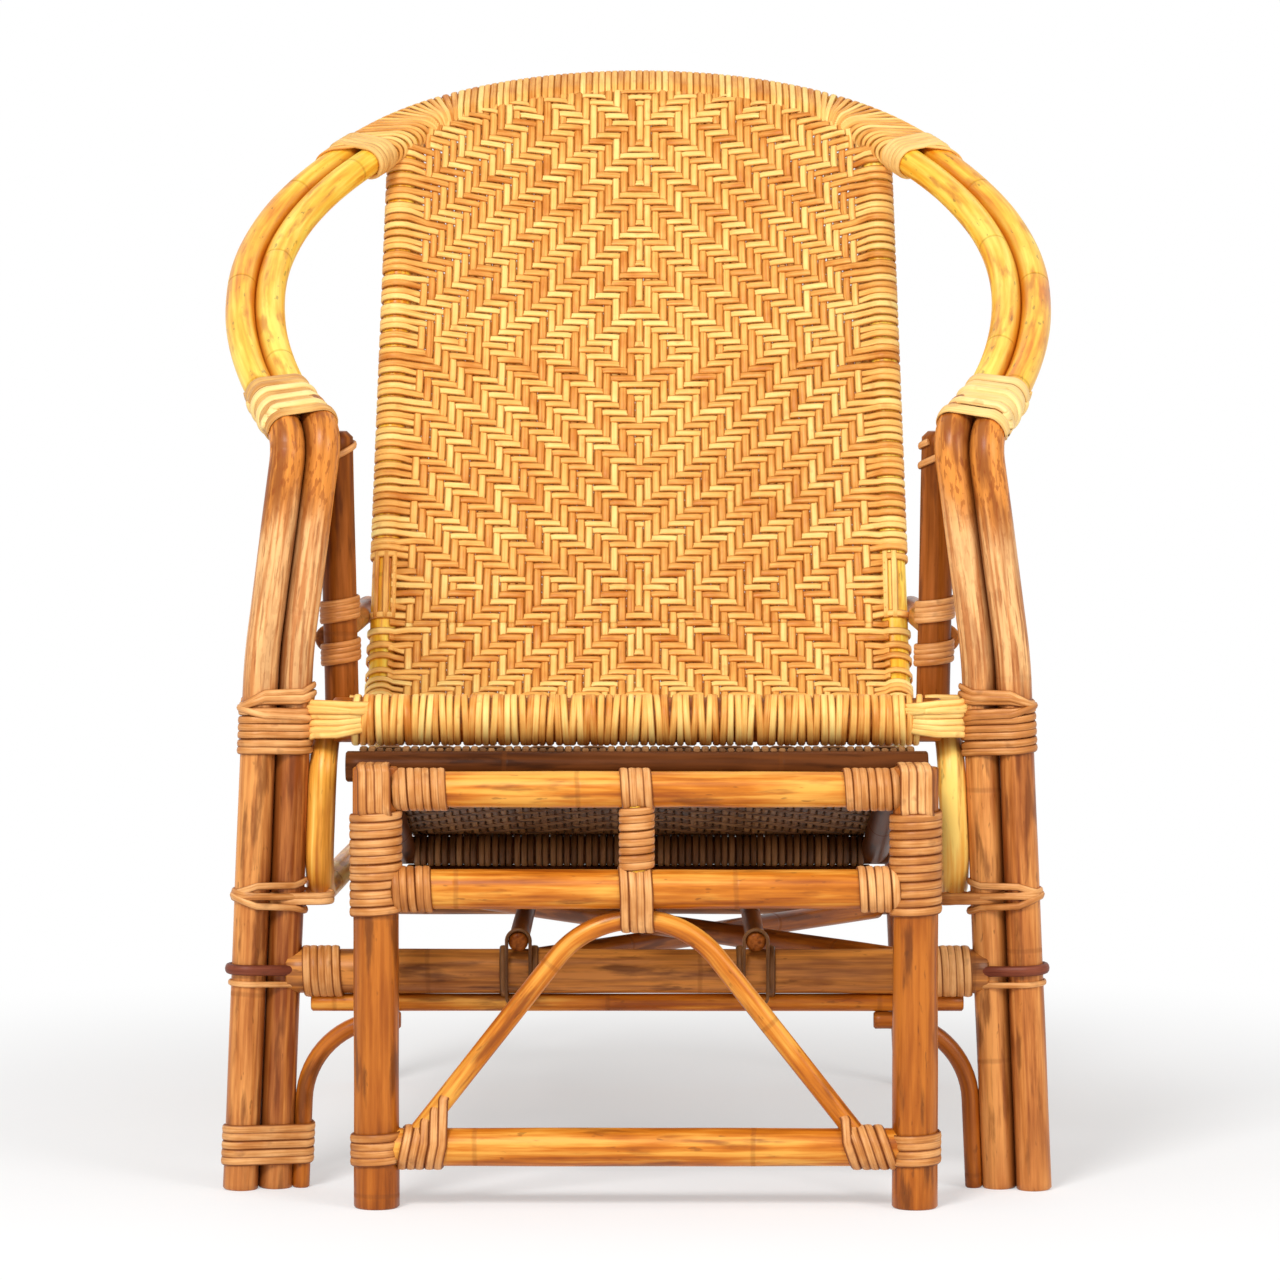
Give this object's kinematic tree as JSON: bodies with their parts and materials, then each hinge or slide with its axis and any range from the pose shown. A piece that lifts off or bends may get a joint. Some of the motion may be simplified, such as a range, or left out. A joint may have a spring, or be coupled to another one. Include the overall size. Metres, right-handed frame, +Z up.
{
  "type": "rattan lounge chair",
  "caption": "Rattan lounge chair with a woven seat and reclined back, a bent twin-pole hoop as back rail and arms, and a footrest that slides out from under the seat.",
  "frame": {"origin": "on the floor, at the middle of the footprint with the footrest pushed in", "axes": "+Z up, -Y towards the front, where the footrest slides out, +X to the right as seen from the front"},
  "size_m": [0.737, 0.8915, 0.9904],
  "materials": {
    "rattan_pole": "golden rattan cane, satin, with dark nodes",
    "leg_pole": "rattan cane, browner, scorched at the bends",
    "binding_strand": "pale split cane, satin",
    "woven_strand": "honey split cane in a twill weave, satin"
  },
  "bodies": {
    "chair": {"arm_bindings": "binding_strand", "arm_post_left": "rattan_pole", "arm_post_right": "rattan_pole", "base_brace_lower": "rattan_pole", "base_brace_upper": "rattan_pole", "crown_wrap": "woven_strand", "foot_binding_left": "binding_strand", "front_leg_inner_left": "leg_pole", "front_leg_inner_right": "leg_pole", "front_leg_outer_left": "leg_pole", "front_leg_outer_right": "leg_pole", "front_rail_wrap": "woven_strand", "front_stretcher": "rattan_pole", "guide_bow_left": "rattan_pole", "guide_bow_right": "rattan_pole", "hoop_inner_pole": "rattan_pole", "hoop_outer_pole": "rattan_pole", "leg_bindings": "binding_strand", "leg_cross_lashings": "binding_strand", "leg_rings": "binding_strand", "post_lashings": "binding_strand", "rear_leg_left": "leg_pole", "rear_leg_right": "leg_pole", "rear_stretcher": "rattan_pole", "runner_lashings": "binding_strand", "runner_left": "rattan_pole", "runner_right": "rattan_pole", "seat_corner_bindings": "binding_strand", "seat_crease_rail": "rattan_pole", "seat_front_rail": "rattan_pole", "seat_side_rail_left": "rattan_pole", "seat_side_rail_right": "rattan_pole", "shoulder_bindings": "binding_strand", "side_rail_left": "rattan_pole", "side_rail_right": "rattan_pole", "spandrel_left": "rattan_pole", "spandrel_right": "rattan_pole", "stretcher_bindings": "binding_strand", "under_stretcher_pole": "rattan_pole", "woven_back": "woven_strand", "woven_seat": "woven_strand"},
    "footrest": {"footrest_arch": "rattan_pole", "footrest_leg_bindings": "binding_strand", "footrest_leg_left": "rattan_pole", "footrest_leg_right": "rattan_pole", "footrest_low_rail": "rattan_pole", "footrest_mid_rail": "rattan_pole", "footrest_post": "rattan_pole", "footrest_post_bindings": "binding_strand", "footrest_rail_bindings": "binding_strand", "footrest_slide_bar": "rattan_pole", "footrest_top_rail": "rattan_pole", "footrest_tray_front_rail": "rattan_pole", "footrest_tray_rear_rail": "rattan_pole", "footrest_tray_side_rail_left": "rattan_pole", "footrest_tray_side_rail_right": "rattan_pole", "footrest_woven_top": "woven_strand"}
  },
  "joints": [
    {"name": "footrest_slide", "type": "slide", "parent": "chair", "child": "footrest", "axis": [0, -1, 0], "range_m": [0, 0.36]}
  ]
}
